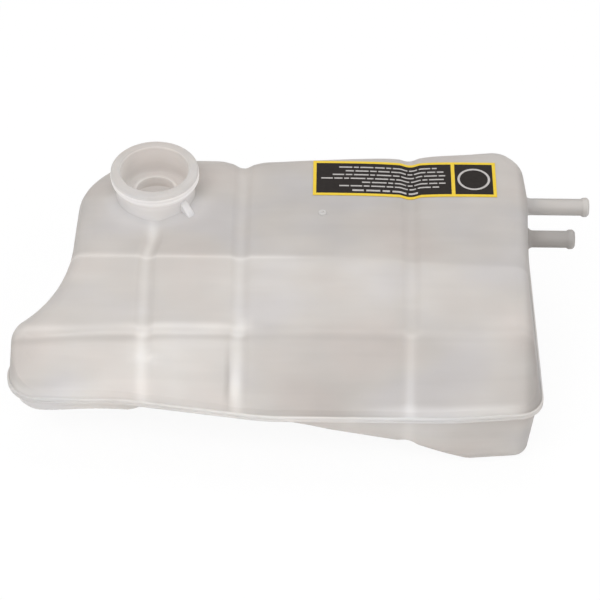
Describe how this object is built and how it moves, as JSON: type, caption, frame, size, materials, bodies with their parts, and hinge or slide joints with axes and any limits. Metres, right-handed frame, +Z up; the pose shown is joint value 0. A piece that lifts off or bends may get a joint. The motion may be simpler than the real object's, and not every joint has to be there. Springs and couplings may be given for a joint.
{
  "type": "coolant expansion tank",
  "caption": "Translucent plastic coolant expansion tank with a threaded filler neck, small hose spigots, a rear outlet and a plain sticker.",
  "frame": {"origin": "middle of the box round the whole tank, at the underside it rests on", "axes": "+X towards the end with the small spigots, +Y towards the back with the outlet, +Z up out of the filler neck"},
  "size_m": [0.3525, 0.214, 0.125],
  "materials": {
    "translucent_plastic": "satin",
    "sticker": "satin"
  },
  "bodies": {
    "root": {"upper_shell": "translucent_plastic", "lower_shell": "translucent_plastic", "label": "sticker"}
  },
  "joints": []
}
